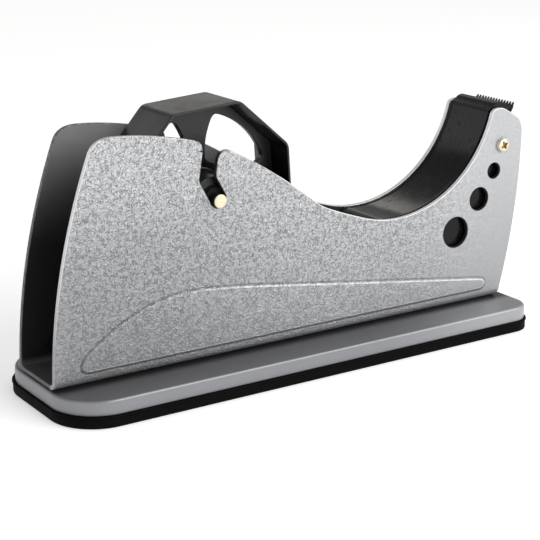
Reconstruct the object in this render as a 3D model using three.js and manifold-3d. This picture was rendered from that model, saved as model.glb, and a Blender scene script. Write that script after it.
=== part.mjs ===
// Heavy desk tape dispenser with a channel frame, an octagonal core hub and a toothed cutter.
// Millimetres, +Z up. Origin: middle of the footprint, on the table. +X towards the cutter.
// Outlines are drawn in X measured from the rear end and are moved to the origin when placed.
import * as THREE from 'three';
import { mergeVertices } from 'three/addons/utils/BufferGeometryUtils.js';
import Module from 'manifold-3d';

// base
const baseLength = 218.6;
const baseWidth = 66.7;
const padThickness = 4.5;
const padLip = 0.9;
const padLipProud = 0.45;
const panInset = 1.0;
const panHeight = 6.1;
const panWall = 2.0;
const panSkin = 1.8;
const panTopRound = 1.1;
const rearCorner = 20;
const frontCorner = 10;
const padRearCorner = 19;

// channel frame
const frameWidth = 30;
const sheet = 1.8;
const bendInside = 2.0;
const frameRear = 2.0;
const frameTop = 101.45;
const frontBulge = 222.7;
const dipRadius = 51.05;
const dipCentre = [156.35, 104.2];
const emboss = 0.8;
const lightenHoles = [[187.9, 42.7, 6.45], [200.1, 55.4, 4.85], [207.7, 66.6, 3.25]];
const sideScrewAt = [211.6, 77.3];

// axle slot
const axleAt = [71.9, 72.5];
const axleRadius = 2.65;
const axleLength = 33.0;
const slotHalf = 3.3;
const slotSeat = [71.9, 73.09];
const slotKnee = [67.35, 81.3];
const slotMouth = [68.9, 91.3];

// hub
const hubApothem = 35;
const hubWidth = 24;
const hubTurn = 4.05;
const hubCorner = 5.0;
const rimWall = 1.4;
const webThickness = 3.0;
const windowOuter = 30.7;
const windowInner = 12.8;
const bossRadius = 8.5;
const bossLength = 22.6;
const boreClearance = 0.06;

// guide and blade
const guideHalf = 12.2;
const guideSurface = 51.4;
const guideLowEnd = 5.1;
const lipHeight = 0.25;
const guideLip = 0.9;
const guideWall = 2.2;
const bladeFoot = [213.9, 82.9];
const bladeTip = [220.5, 93.9];
const bladeThick = 0.8;
const bladeWidth = 24.2;
const toothPitch = 1.73;
const toothDepth = 2.2;

const wasm = await Module();
wasm.setup();

const totalLength = frontBulge;
const padTop = padThickness;
const panTop = padThickness + panHeight;
const frameFloor = panTop;
const frameInner = frameWidth / 2 - sheet;

const paint = (color, roughness, metalness) =>
  new THREE.MeshStandardMaterial({ color, roughness, metalness });
const hammered = paint(0xbfc2c4, 0.38, 0.55);
const silver = paint(0x9b9da1, 0.42, 0.6);
const blackRubber = paint(0x0b0b0c, 0.85, 0);
const blackPlastic = paint(0x161518, 0.35, 0);
const hubPlastic = paint(0x201f20, 0.5, 0);
const blackSteel = paint(0x1b1b1d, 0.4, 0.8);
const brass = paint(0xc9a45a, 0.35, 0.9);
const axleSteel = paint(0xd9ccab, 0.4, 0.8);
const zinc = paint(0xb9bcc0, 0.4, 0.9);
const iron = paint(0x3a3b3d, 0.7, 0.6);
const nylon = paint(0xe6e2d6, 0.5, 0);

const group = new THREE.Group();

// ---- solids from closed geometry, and back ----

function solid(geometry) {
  let bare = geometry.index ? geometry.toNonIndexed() : geometry.clone();
  bare.deleteAttribute('normal');
  bare.deleteAttribute('uv');
  bare = mergeVertices(bare, 1e-4);
  return new wasm.Manifold(new wasm.Mesh({
    numProp: 3,
    vertProperties: new Float32Array(bare.attributes.position.array),
    triVerts: new Uint32Array(bare.index.array),
  }));
}

function geometryOf(manifold) {
  const mesh = manifold.getMesh();
  const geometry = new THREE.BufferGeometry();
  geometry.setAttribute('position', new THREE.BufferAttribute(mesh.vertProperties, 3));
  geometry.setIndex(new THREE.BufferAttribute(mesh.triVerts, 1));
  geometry.computeVertexNormals();
  return geometry;
}

function place(name, shape, material) {
  const geometry = shape.isBufferGeometry ? shape : geometryOf(shape);
  const mesh = new THREE.Mesh(geometry, material);
  mesh.name = name;
  mesh.position.x = -totalLength / 2;
  group.add(mesh);
}

// an outline in X and Z carried across Y, from low to high
function across(shape, low, high, curveSegments = 12) {
  const geometry = new THREE.ExtrudeGeometry(shape, {
    depth: high - low, bevelEnabled: false, curveSegments,
  });
  const turn = new THREE.Matrix4().makeBasis(
    new THREE.Vector3(1, 0, 0), new THREE.Vector3(0, 0, 1), new THREE.Vector3(0, -1, 0));
  geometry.applyMatrix4(turn);
  geometry.translate(0, high, 0);
  return geometry;
}

// an outline in Y and Z carried along X
function along(shape, from, to, curveSegments = 4) {
  const geometry = new THREE.ExtrudeGeometry(shape, {
    depth: to - from, bevelEnabled: false, curveSegments,
  });
  const turn = new THREE.Matrix4().makeBasis(
    new THREE.Vector3(0, 1, 0), new THREE.Vector3(0, 0, 1), new THREE.Vector3(1, 0, 0));
  geometry.applyMatrix4(turn);
  geometry.translate(from, 0, 0);
  return geometry;
}

function polygon(points) {
  const shape = new THREE.Shape();
  points.forEach(([x, z], i) => (i ? shape.lineTo(x, z) : shape.moveTo(x, z)));
  shape.closePath();
  return shape;
}

// a polygon whose corners are rounded by the radius given as each point's third value
function rounded(points) {
  const shape = new THREE.Shape();
  const count = points.length;
  points.forEach(([x, z, r = 0], i) => {
    const corner = new THREE.Vector2(x, z);
    const before = new THREE.Vector2(...points[(i + count - 1) % count]);
    const after = new THREE.Vector2(...points[(i + 1) % count]);
    const back = before.sub(corner).normalize();
    const ahead = after.sub(corner).normalize();
    const half = Math.acos(THREE.MathUtils.clamp(back.dot(ahead), -1, 1)) / 2;
    const cut = r / Math.tan(half);
    const start = corner.clone().addScaledVector(back, cut);
    const end = corner.clone().addScaledVector(ahead, cut);
    if (i) {
      shape.lineTo(start.x, start.y);
    } else {
      shape.moveTo(start.x, start.y);
    }
    if (r > 0) {
      const k = 0.5523 * cut;
      const c1 = start.clone().addScaledVector(back, -Math.min(k, cut));
      const c2 = end.clone().addScaledVector(ahead, -Math.min(k, cut));
      shape.bezierCurveTo(c1.x, c1.y, c2.x, c2.y, end.x, end.y);
    }
  });
  shape.closePath();
  return shape;
}

// a slot of round-ended width 2 * half between two points
function capsule([x0, z0], [x1, z1], half) {
  const angle = Math.atan2(z1 - z0, x1 - x0);
  const shape = new THREE.Shape();
  shape.absarc(x0, z0, half, angle + Math.PI / 2, angle + 1.5 * Math.PI, false);
  shape.absarc(x1, z1, half, angle - Math.PI / 2, angle + Math.PI / 2, false);
  shape.closePath();
  return shape;
}

function rod(x, z, radius, low, high, sides = 24) {
  const geometry = new THREE.CylinderGeometry(radius, radius, high - low, sides);
  geometry.translate(x, (low + high) / 2, z);
  return solid(geometry);
}

function post(x, y, radius, low, high, sides = 20) {
  const geometry = new THREE.CylinderGeometry(radius, radius, high - low, sides);
  geometry.rotateX(Math.PI / 2);
  geometry.translate(x, y, (low + high) / 2);
  return solid(geometry);
}

// ---- base ----

// outline of the footprint, drawn in by an inset, with larger corners at the rear
function footprint(inset, rear, front) {
  const w = baseWidth / 2 - inset;
  const x0 = inset;
  const x1 = baseLength - inset;
  const points = [];
  const corners = [[x0, -w, rear, 180], [x1, -w, front, 270], [x1, w, front, 0], [x0, w, rear, 90]];
  for (const [x, y, radius, from] of corners) {
    const r = Math.max(radius - inset, 0.5);
    const cx = x === x0 ? x + r : x - r;
    const cy = y < 0 ? y + r : y - r;
    for (let i = 0; i <= 8; i += 1) {
      const a = THREE.MathUtils.degToRad(from + i * 11.25);
      points.push(new THREE.Vector2(cx + r * Math.cos(a), cy + r * Math.sin(a)));
    }
  }
  return points;
}

// a slab made of outlines stacked at rising heights
function stacked(layers) {
  const rings = layers.map(([z, inset, rear, front]) =>
    footprint(inset, rear, front).map((p) => [p.x, p.y, z]));
  const n = rings[0].length;
  const index = [];
  for (let k = 0; k + 1 < rings.length; k += 1) {
    for (let i = 0; i < n; i += 1) {
      const j = (i + 1) % n;
      index.push(k * n + i, k * n + j, (k + 1) * n + j);
      index.push(k * n + i, (k + 1) * n + j, (k + 1) * n + i);
    }
  }
  const flat = footprint(layers[0][1], layers[0][2], layers[0][3]);
  const last = (rings.length - 1) * n;
  for (const [a, b, c] of THREE.ShapeUtils.triangulateShape(flat, [])) {
    const turn = THREE.ShapeUtils.area([flat[a], flat[b], flat[c]]) > 0;
    const [d, e] = turn ? [b, c] : [c, b];
    index.push(a, e, d);
    index.push(last + a, last + d, last + e);
  }
  const geometry = new THREE.BufferGeometry();
  geometry.setAttribute('position', new THREE.Float32BufferAttribute(rings.flat(2), 3));
  geometry.setIndex(index);
  return geometry;
}

const boltSpots = [[24, -7.5], [24, 7.5], [196, -7.5], [196, 7.5]];

place('rubber_pad', stacked([
  [0, 0.6, padRearCorner, frontCorner],
  [0.3, 0.3, padRearCorner, frontCorner],
  [padThickness - padLip - 0.3, 0.3, padRearCorner, frontCorner],
  [padThickness - padLip + 0.1, 0.3 - padLipProud * 0.66, padRearCorner, frontCorner],
  [padTop - 0.2, 0.3 - padLipProud * 0.66, padRearCorner, frontCorner],
  [padTop, 0.4, padRearCorner, frontCorner],
]), blackRubber);

let pan = solid(stacked([
  [padTop, panInset, rearCorner, frontCorner],
  [panTop - panTopRound, panInset, rearCorner, frontCorner],
  [panTop - panTopRound * 0.62, panInset + 0.08, rearCorner, frontCorner],
  [panTop - panTopRound * 0.29, panInset + panTopRound * 0.29, rearCorner, frontCorner],
  [panTop - panTopRound * 0.08, panInset + panTopRound * 0.62, rearCorner, frontCorner],
  [panTop, panInset + panTopRound, rearCorner, frontCorner],
]));
pan = pan.subtract(solid(stacked([
  [padTop - 1, panInset + panWall, rearCorner, frontCorner],
  [panTop - panSkin, panInset + panWall, rearCorner, frontCorner],
])));

const ballastTop = panTop - panSkin - 0.1;
let ballast = solid(stacked([
  [padTop, panInset + panWall + 1.5, rearCorner, frontCorner],
  [ballastTop, panInset + panWall + 1.5, rearCorner, frontCorner],
]));

// ---- channel frame ----

function sideOutline() {
  const shape = new THREE.Shape();
  const [cx, cz] = dipCentre;
  const joinX = 140;
  const joinZ = cz - Math.sqrt(dipRadius ** 2 - (joinX - cx) ** 2);
  shape.moveTo(frameRear, frameFloor - 1);
  shape.lineTo(frameRear, 14);
  shape.quadraticCurveTo(3.24, 55.25, 18.9, 96.2);
  shape.quadraticCurveTo(21.0, frameTop + 0.05, 28.3, frameTop);
  shape.quadraticCurveTo(43.3, 101.1, 62, 96.4);
  shape.quadraticCurveTo(66.3, 95.3, 66.0, 91.3);
  shape.lineTo(67, 88.5);
  shape.lineTo(70.6, 88.5);
  shape.lineTo(71.75, 87.6);
  shape.quadraticCurveTo(72.4, 91.2, 76.0, 91.25);
  shape.quadraticCurveTo(77.6, 91.1, 80.0, 89.5);
  shape.quadraticCurveTo(94.4, 82.3, 108.9, 71.5);
  shape.lineTo(118, 64.72);
  shape.quadraticCurveTo(121.9, 61.8, joinX, joinZ);
  const startAngle = Math.atan2(joinZ - cz, joinX - cx);
  shape.absarc(cx, cz, dipRadius, startAngle, THREE.MathUtils.degToRad(-15.6), false);
  shape.quadraticCurveTo(206.2, 92.95, 209.5, 93.0);
  shape.quadraticCurveTo(211.4, 93.05, 213.0, 92.25);
  shape.lineTo(219.0, 88.85);
  shape.quadraticCurveTo(222.6, 86.7, frontBulge, 82);
  shape.quadraticCurveTo(frontBulge, 48.2, 213.56, 14.4);
  shape.lineTo(212.6, frameFloor - 1);
  shape.closePath();
  return shape;
}

function channelSection() {
  const half = frameWidth / 2;
  const outer = bendInside + sheet;
  const low = frameFloor;
  const shape = new THREE.Shape();
  shape.moveTo(-half, frameTop + 5);
  shape.lineTo(-half, low + outer);
  shape.absarc(-half + outer, low + outer, outer, Math.PI, 1.5 * Math.PI, false);
  shape.absarc(half - outer, low + outer, outer, -Math.PI / 2, 0, false);
  shape.lineTo(half, frameTop + 5);
  shape.lineTo(half - sheet, frameTop + 5);
  shape.absarc(half - outer, low + outer, bendInside, 0, -Math.PI / 2, true);
  shape.absarc(-half + outer, low + outer, bendInside, -Math.PI / 2, -Math.PI, true);
  shape.lineTo(-half + sheet, frameTop + 5);
  shape.closePath();
  return shape;
}

// leaf-shaped outline of the raised panel, drawn in by an inset
function leafOutline(inset) {
  const shape = new THREE.Shape();
  const i = inset;
  shape.moveTo(13.0 + i, 18.6);
  shape.quadraticCurveTo(13.6 + i, 21.2, 16.6 + i, 23.5 - i * 0.6);
  shape.quadraticCurveTo(39 + i * 0.5, 41.4 - i, 66, 39.5 - i);
  shape.quadraticCurveTo(80, 38.4 - i, 95, 36.1 - i);
  shape.lineTo(201.2 - i, 20.9 - i);
  shape.quadraticCurveTo(205.2 - i, 20.3 - i, 205.1 - i, 18.2);
  shape.quadraticCurveTo(204.9 - i, 15.35 + i, 201.5 - i, 15.3 + i);
  shape.lineTo(16.5 + i, 15.3 + i);
  shape.quadraticCurveTo(12.7 + i, 15.3 + i, 13.0 + i, 18.6);
  shape.closePath();
  return shape;
}

// the raised panel: two rings of the leaf, the inner one standing out from the plate
function leafBody(base, top, insetBase, insetTop) {
  const rings = [[insetBase, base], [insetTop, top]].map(([inset, y]) => {
    const points = leafOutline(inset).getPoints(6).slice(0, -1).reverse();
    return points.map((p) => [p.x, y, p.y]);
  });
  const n = rings[0].length;
  const index = [];
  const add = (a, b, c) => (top < base ? index.push(a, b, c) : index.push(a, c, b));
  for (let i = 0; i < n; i += 1) {
    const j = (i + 1) % n;
    add(i, j, j + n);
    add(i, j + n, i + n);
  }
  const flat = rings[1].map(([x, , z]) => new THREE.Vector2(x, z));
  for (const [a, b, c] of THREE.ShapeUtils.triangulateShape(flat, [])) {
    const turn = THREE.ShapeUtils.area([flat[a], flat[b], flat[c]]) > 0;
    const [d, e] = turn ? [b, c] : [c, b];
    add(a + n, d + n, e + n);
    add(a, e, d);
  }
  const geometry = new THREE.BufferGeometry();
  geometry.setAttribute('position', new THREE.Float32BufferAttribute(rings.flat(2), 3));
  geometry.setIndex(index);
  return geometry;
}

let frame = solid(along(channelSection(), 0, 230)).intersect(
  solid(across(sideOutline(), -frameWidth, frameWidth, 9)));
for (const side of [-1, 1]) {
  const face = side * frameWidth / 2;
  const inner = side * frameInner;
  frame = frame.add(solid(leafBody(face - side * 0.4, face + side * emboss, -0.4, 0.8)));
  frame = frame.subtract(solid(leafBody(inner - side * 0.4, inner + side * emboss, 1.3, 2.3)));
}
for (const [from, to] of [[slotSeat, slotKnee], [slotKnee, slotMouth]]) {
  frame = frame.subtract(solid(across(capsule(from, to, slotHalf), -20, 20, 10)));
}
for (const [x, z, r] of lightenHoles) {
  frame = frame.subtract(rod(x, z, r, -20, 20, 28));
}
frame = frame.subtract(rod(...sideScrewAt, 2.0, -20, 20, 12));

// ---- hub ----

function octagon(apothem, corner) {
  const points = [];
  for (let k = 0; k < 8; k += 1) {
    const a = THREE.MathUtils.degToRad(22.5 + 45 * k);
    const r = apothem / Math.cos(Math.PI / 8);
    points.push([r * Math.cos(a), r * Math.sin(a), corner]);
  }
  return rounded(points);
}

// one web opening, centred on the diagonal of the first quarter: waisted spokes on either side,
// an arc about the hub's axis outside and another inside
function webOpening() {
  const span = THREE.MathUtils.degToRad(70.2);
  const rest = Math.PI / 2 - span;
  const shape = new THREE.Shape();
  shape.moveTo(3.7, 13.6);
  shape.quadraticCurveTo(3.7, 20.5, 7.2, 27.0);
  shape.quadraticCurveTo(8.5, 29.6, windowOuter * Math.cos(span), windowOuter * Math.sin(span));
  shape.absarc(0, 0, windowOuter, span, rest, true);
  shape.quadraticCurveTo(29.6, 8.5, 27.0, 7.2);
  shape.quadraticCurveTo(20.5, 3.7, 13.6, 3.7);
  shape.quadraticCurveTo(12.6, 3.7, windowInner * Math.cos(rest), windowInner * Math.sin(rest));
  shape.absarc(0, 0, windowInner, rest, span, false);
  shape.quadraticCurveTo(3.7, 12.6, 3.7, 13.6);
  shape.closePath();
  return shape;
}

function turnedAbout(geometry, [x, z], degrees) {
  geometry.rotateY(-THREE.MathUtils.degToRad(degrees));
  geometry.translate(x, 0, z);
  return geometry;
}

let hub = solid(across(octagon(hubApothem, hubCorner), -hubWidth / 2, hubWidth / 2, 4));
for (const [low, high] of [[-20, -webThickness / 2], [webThickness / 2, 20]]) {
  hub = hub.subtract(solid(across(octagon(hubApothem - rimWall, hubCorner - rimWall), low, high, 4)));
}
for (let k = 0; k < 4; k += 1) {
  const opening = across(webOpening(), -5, 5, 6);
  opening.rotateY(k * Math.PI / 2);
  hub = hub.subtract(solid(opening));
}
hub = hub.add(rod(0, 0, bossRadius, -bossLength / 2, bossLength / 2, 28));
hub = hub.subtract(rod(0, 0, axleRadius + boreClearance, -20, 20, 28));
place('hub', turnedAbout(geometryOf(hub), axleAt, hubTurn), hubPlastic);

// ---- axle, washers and clips ----

function turned(profile, sides = 28) {
  const points = profile.map(([r, y]) => new THREE.Vector2(r, y));
  const geometry = new THREE.LatheGeometry(points, sides);
  geometry.translate(axleAt[0], 0, axleAt[1]);
  return geometry;
}

const axleEnd = axleLength / 2;
place('axle', turned([
  [0, -axleEnd], [axleRadius - 0.9, -axleEnd], [axleRadius - 0.25, -axleEnd + 0.25],
  [axleRadius, -axleEnd + 0.8], [axleRadius, axleEnd - 0.8],
  [axleRadius - 0.25, axleEnd - 0.25], [axleRadius - 0.9, axleEnd], [0, axleEnd],
]), axleSteel);

for (const [label, side] of [['near', -1], ['far', 1]]) {
  const face = bossLength / 2 + 0.08;
  const ring = (inner, outer, from, to) => turned([
    [inner, side * from], [outer, side * from], [outer, side * to],
    [inner, side * to], [inner, side * from],
  ], 24);
  place(`washer_${label}`, fixTurn(ring(axleRadius + 0.06, 5.2, face, face + 0.6)), nylon);
  const clip = solid(fixTurn(ring(axleRadius + 0.03, 4.6, face + 0.7, face + 1.4)));
  const gap = polygon([[-1.5, -6], [1.5, -6], [1.0, 0], [-1.0, 0]]);
  const cut = across(gap, -20, 20);
  cut.translate(axleAt[0], 0, axleAt[1]);
  place(`clip_${label}`, clip.subtract(solid(cut)), blackSteel);
}

// a lathe drawn towards -Y comes out inside out, so its triangles are turned over
function fixTurn(geometry) {
  let volume = 0;
  const p = geometry.attributes.position;
  const index = geometry.index;
  const [a, b, c] = [new THREE.Vector3(), new THREE.Vector3(), new THREE.Vector3()];
  for (let i = 0; i < index.count; i += 3) {
    a.fromBufferAttribute(p, index.getX(i));
    b.fromBufferAttribute(p, index.getX(i + 1));
    c.fromBufferAttribute(p, index.getX(i + 2));
    volume += a.dot(b.cross(c));
  }
  if (volume < 0) {
    for (let i = 0; i < index.count; i += 3) {
      const keep = index.getX(i + 1);
      index.setX(i + 1, index.getX(i + 2));
      index.setX(i + 2, keep);
    }
  }
  return geometry;
}

// ---- blade ----

const bladeRun = new THREE.Vector2(bladeTip[0] - bladeFoot[0], bladeTip[1] - bladeFoot[1]);
const bladeHigh = bladeRun.length();
const bladeLean = Math.atan2(bladeRun.y, bladeRun.x);

// from the blade's own plane (u across, v up the blade, w out of its lower side) to the object
function onBlade(geometry) {
  const up = new THREE.Vector3(Math.cos(bladeLean), 0, Math.sin(bladeLean));
  const out = new THREE.Vector3(Math.sin(bladeLean), 0, -Math.cos(bladeLean));
  const wide = new THREE.Vector3().crossVectors(up, out);
  geometry.applyMatrix4(new THREE.Matrix4().makeBasis(wide, up, out));
  geometry.translate(bladeFoot[0], 0, bladeFoot[1]);
  return geometry;
}

function bladeOutline() {
  const half = bladeWidth / 2;
  const points = [[-half, 0], [half, 0], [half, bladeHigh - toothDepth]];
  const teeth = Math.round(bladeWidth / toothPitch);
  const pitch = bladeWidth / teeth;
  for (let k = 0; k < teeth; k += 1) {
    const u = half - k * pitch;
    points.push([u - pitch * 0.42, bladeHigh], [u - pitch * 0.58, bladeHigh]);
    points.push([u - pitch, bladeHigh - toothDepth]);
  }
  return polygon(points);
}

const bladeScrewSpots = [[-7, 4.2], [7, 4.2]];
const flatBlade = (shape, from, to) => {
  const geometry = new THREE.ExtrudeGeometry(shape, {
    depth: to - from, bevelEnabled: false, curveSegments: 12,
  });
  geometry.translate(0, 0, from);
  return onBlade(geometry);
};
const bladeRod = (u, v, radius, from, to, sides = 18) => {
  const geometry = new THREE.CylinderGeometry(radius, radius, to - from, sides);
  geometry.rotateX(Math.PI / 2);
  geometry.translate(u, v, (from + to) / 2);
  return solid(onBlade(geometry));
};

let blade = solid(flatBlade(bladeOutline(), -bladeThick / 2, bladeThick / 2));
for (const [u, v] of bladeScrewSpots) {
  blade = blade.subtract(bladeRod(u, v, 1.7, -3, 3));
}
place('blade', blade, blackSteel);

// ---- guide ----

const seatOffset = bladeThick / 2 + 0.03;
const onSeat = (v) => [
  bladeFoot[0] + Math.cos(bladeLean) * v - Math.sin(bladeLean) * seatOffset,
  bladeFoot[1] + Math.sin(bladeLean) * v + Math.cos(bladeLean) * seatOffset,
];

// side outline of the guide body, for a running surface of the given radius
function guideOutline(surface) {
  const [cx, cz] = dipCentre;
  const shape = new THREE.Shape();
  const start = Math.atan2(-Math.sqrt(surface ** 2 - guideLowEnd ** 2), -guideLowEnd);
  const end = THREE.MathUtils.degToRad(-13.2);
  shape.moveTo(146.2, 47.5);
  shape.quadraticCurveTo(146.4, 52.0, cx - guideLowEnd, cz + surface * Math.sin(start));
  shape.absarc(cx, cz, surface, start, end, false);
  shape.quadraticCurveTo(207.3, 92.6, 208.5, 93.6);
  shape.quadraticCurveTo(210.1, 95.15, 211.9, 94.9);
  shape.quadraticCurveTo(213.8, 94.6, 215.6, 93.5);
  shape.lineTo(...onSeat(10.6));
  shape.lineTo(...onSeat(-0.8));
  shape.lineTo(216.4, 80.2);
  shape.quadraticCurveTo(218.6, 79.4, 218.9, 76.5);
  shape.quadraticCurveTo(218.6, 52, 212.2, 33);
  shape.lineTo(178, 33);
  shape.closePath();
  return shape;
}

function guideHollow() {
  const [cx, cz] = dipCentre;
  const inner = guideSurface + guideWall;
  const start = THREE.MathUtils.degToRad(-89);
  const end = THREE.MathUtils.degToRad(-33);
  const shape = new THREE.Shape();
  shape.moveTo(cx + inner * Math.cos(start), cz + inner * Math.sin(start));
  shape.absarc(cx, cz, inner, start, end, false);
  shape.lineTo(206, 76.4);
  shape.lineTo(232, 76.4);
  shape.lineTo(232, 20);
  shape.lineTo(170, 20);
  shape.closePath();
  return shape;
}

let guide = solid(across(guideOutline(guideSurface - lipHeight), -guideHalf, guideHalf, 16));
const surfaceHalf = guideHalf - guideLip;
const carve = new THREE.Shape();
carve.moveTo(140, 70);
carve.lineTo(140, 53);
carve.absarc(...dipCentre, guideSurface, Math.atan2(-guideSurface, -guideLowEnd),
  THREE.MathUtils.degToRad(-14.5), false);
carve.lineTo(200, 92);
carve.closePath();
guide = guide.subtract(solid(across(carve, -surfaceHalf, surfaceHalf, 20)));
guide = guide.subtract(solid(across(guideHollow(), -guideHalf + guideWall, guideHalf - guideWall, 14)));
for (const [x, z] of [[199, 62.5], [184, 45.5]]) {
  const rib = polygon([[x - 12, z], [x + 15, z], [x + 15, z + 2], [x - 12, z + 2]]);
  const body = solid(across(rib, -guideHalf + 1, guideHalf - 1));
  guide = guide.add(body.intersect(solid(across(guideOutline(guideSurface), -20, 20, 16))));
}
for (const side of [-1, 1]) {
  const boss = [side * (guideHalf - 6), side * (frameInner - 0.05)].sort((a, b) => a - b);
  guide = guide.add(rod(...sideScrewAt, 4.2, ...boss));
  const bore = [side * (guideHalf - 7.5), side * 15].sort((a, b) => a - b);
  guide = guide.subtract(rod(...sideScrewAt, 1.62, ...bore));
}
for (const [u, v] of bladeScrewSpots) {
  guide = guide.subtract(bladeRod(u, v, 1.37, -6.2, 3));
}
place('guide', guide, blackPlastic);

// ---- fasteners ----

// a cross-recess pan-head screw standing on +Z, seat at zero, shank pointing down
function panScrew(headRadius, headHeight, shankRadius, shankLength) {
  const profile = [
    [0, -shankLength], [shankRadius - 0.4, -shankLength], [shankRadius, -shankLength + 0.4],
    [shankRadius, 0], [headRadius, 0], [headRadius, headHeight * 0.35],
    [headRadius * 0.82, headHeight * 0.8], [headRadius * 0.4, headHeight], [0, headHeight],
  ].map(([r, z]) => new THREE.Vector2(r, z));
  const geometry = new THREE.LatheGeometry(profile, 16);
  geometry.rotateX(Math.PI / 2);
  let screw = solid(geometry);
  const arm = headRadius * 0.6;
  const slot = headRadius * 0.15;
  for (const [w, d] of [[arm, slot], [slot, arm]]) {
    const recess = new THREE.BoxGeometry(2 * w, 2 * d, headHeight * 1.1);
    recess.translate(0, 0, headHeight);
    screw = screw.subtract(solid(recess));
  }
  return geometryOf(screw);
}

for (const [label, side] of [['near', -1], ['far', 1]]) {
  const screw = panScrew(3.1, 1.9, 1.55, 8.5);
  screw.rotateZ(0.35);
  screw.rotateX(-side * Math.PI / 2);
  screw.translate(sideScrewAt[0], side * frameWidth / 2, sideScrewAt[1]);
  place(`side_screw_${label}`, screw, brass);
}

bladeScrewSpots.forEach(([u, v], i) => {
  const screw = panScrew(2.6, 1.5, 1.3, 5.5);
  screw.translate(0, 0, bladeThick / 2 + 0.02);
  screw.translate(u, v, 0);
  place(`blade_screw_${i + 1}`, onBlade(screw), zinc);
});

boltSpots.forEach(([x, y], i) => {
  const head = frameFloor + sheet;
  frame = frame.subtract(post(x, y, 2.1, panTop - 3, head + 3));
  pan = pan.subtract(post(x, y, 2.1, padTop, head));
  ballast = ballast.subtract(post(x, y, 5.2, padTop - 2, panTop, 24));
  const bolt = panScrew(3.9, 2.3, 1.95, 6.4);
  bolt.rotateZ(0.4 + i);
  bolt.translate(x, y, head + 0.02);
  place(`frame_bolt_${i + 1}`, bolt, zinc);
  const nutGeometry = new THREE.CylinderGeometry(4.0, 4.0, 3.1, 6);
  nutGeometry.rotateX(Math.PI / 2);
  nutGeometry.translate(x, y, panTop - panSkin - 0.03 - 1.55);
  const nut = solid(nutGeometry).subtract(post(x, y, 2.02, padTop - 2, panTop));
  place(`frame_nut_${i + 1}`, nut, zinc);
});

place('base_pan', pan, silver);
place('ballast', ballast, iron);
place('channel_frame', frame, hammered);

export default group;
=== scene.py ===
import math
import bmesh
import bpy
import numpy as np
from mathutils import Matrix, Vector
from mathutils.geometry import delaunay_2d_cdt


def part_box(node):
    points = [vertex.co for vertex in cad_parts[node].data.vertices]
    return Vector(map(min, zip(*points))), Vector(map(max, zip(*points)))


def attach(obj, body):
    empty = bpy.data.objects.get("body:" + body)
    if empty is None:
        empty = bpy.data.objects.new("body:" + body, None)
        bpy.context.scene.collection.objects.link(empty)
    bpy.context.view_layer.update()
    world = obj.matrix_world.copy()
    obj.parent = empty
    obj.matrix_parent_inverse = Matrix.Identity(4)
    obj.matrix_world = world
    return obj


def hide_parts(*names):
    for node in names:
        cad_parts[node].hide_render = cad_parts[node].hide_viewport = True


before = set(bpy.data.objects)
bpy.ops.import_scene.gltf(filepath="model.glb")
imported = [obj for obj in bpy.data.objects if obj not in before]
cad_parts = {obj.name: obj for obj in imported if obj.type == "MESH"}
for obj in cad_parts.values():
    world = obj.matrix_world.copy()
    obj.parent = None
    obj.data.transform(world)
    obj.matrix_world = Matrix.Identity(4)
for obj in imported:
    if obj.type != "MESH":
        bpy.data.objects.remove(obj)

scene = bpy.context.scene
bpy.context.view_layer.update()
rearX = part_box("rubber_pad")[0].x        # every length below is in mm, measured from the rear end
print("frame loaded:", len(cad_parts), "nodes")


def toMetres(points):
    # millimetres from the rear end to metres in the row frame
    out = np.asarray(points, float) * 0.001
    out[..., 0] += rearX
    return out


def quadGrid(rows, cols, wrapRows=False, wrapCols=False, start=0):
    # corner numbers of the quads of a rows x cols grid of points
    i, j = np.meshgrid(np.arange(rows if wrapRows else rows - 1),
                       np.arange(cols if wrapCols else cols - 1), indexing="ij")
    a = i * cols + j
    b = i * cols + (j + 1) % cols
    c = ((i + 1) % rows) * cols + (j + 1) % cols
    d = ((i + 1) % rows) * cols + j
    return np.stack([a, b, c, d], -1).reshape(-1, 4) + start


def fan(ring, pole, flip=False):
    # triangles from a closed ring of point numbers to one pole
    ring = np.asarray(ring)
    nxt = np.roll(ring, -1)
    tri = np.stack([ring, nxt, np.full_like(ring, pole)], -1)
    return tri[:, ::-1] if flip else tri


def joinParts(parts):
    # stacks (points, faces) parts into one array of points and one list of faces
    points, faces, base = [], [], 0
    for verts, polys in parts:
        verts = np.asarray(verts, float).reshape(-1, 3)
        points.append(verts)
        for block in (polys if isinstance(polys, list) else [polys]):
            faces += (np.asarray(block) + base).tolist()
        base += len(verts)
    return np.concatenate(points), faces


def makePiece(name, parts, material, body, stands=(), sharp=50, faceMarks=None,
              weighted=True):
    # one object from closed parts: doubles merged, faces turned outwards, shaded smooth;
    # it rides on a body, stands in for CAD nodes, and carries one number per face for each mark
    points, faces = joinParts(parts)
    mesh = bpy.data.meshes.new(name)
    mesh.from_pydata(toMetres(points), [], faces)
    for label, values in (faceMarks or {}).items():
        layer = mesh.attributes.new(label, "FLOAT", "FACE")
        layer.data.foreach_set("value", np.asarray(values, np.float32))
    work = bmesh.new()
    work.from_mesh(mesh)
    bmesh.ops.remove_doubles(work, verts=work.verts, dist=2e-6)
    bmesh.ops.dissolve_degenerate(work, edges=work.edges, dist=1e-6)
    bmesh.ops.recalc_face_normals(work, faces=work.faces)
    work.to_mesh(mesh)
    work.free()
    mesh.shade_smooth()
    mesh.set_sharp_from_angle(angle=math.radians(sharp))
    piece = bpy.data.objects.new(name, mesh)
    scene.collection.objects.link(piece)
    mesh.materials.append(material)
    if weighted:
        soften = piece.modifiers.new("evenNormals", "WEIGHTED_NORMAL")
        soften.keep_sharp = True
    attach(piece, body)
    if stands:
        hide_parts(*stands)
    return piece


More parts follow.
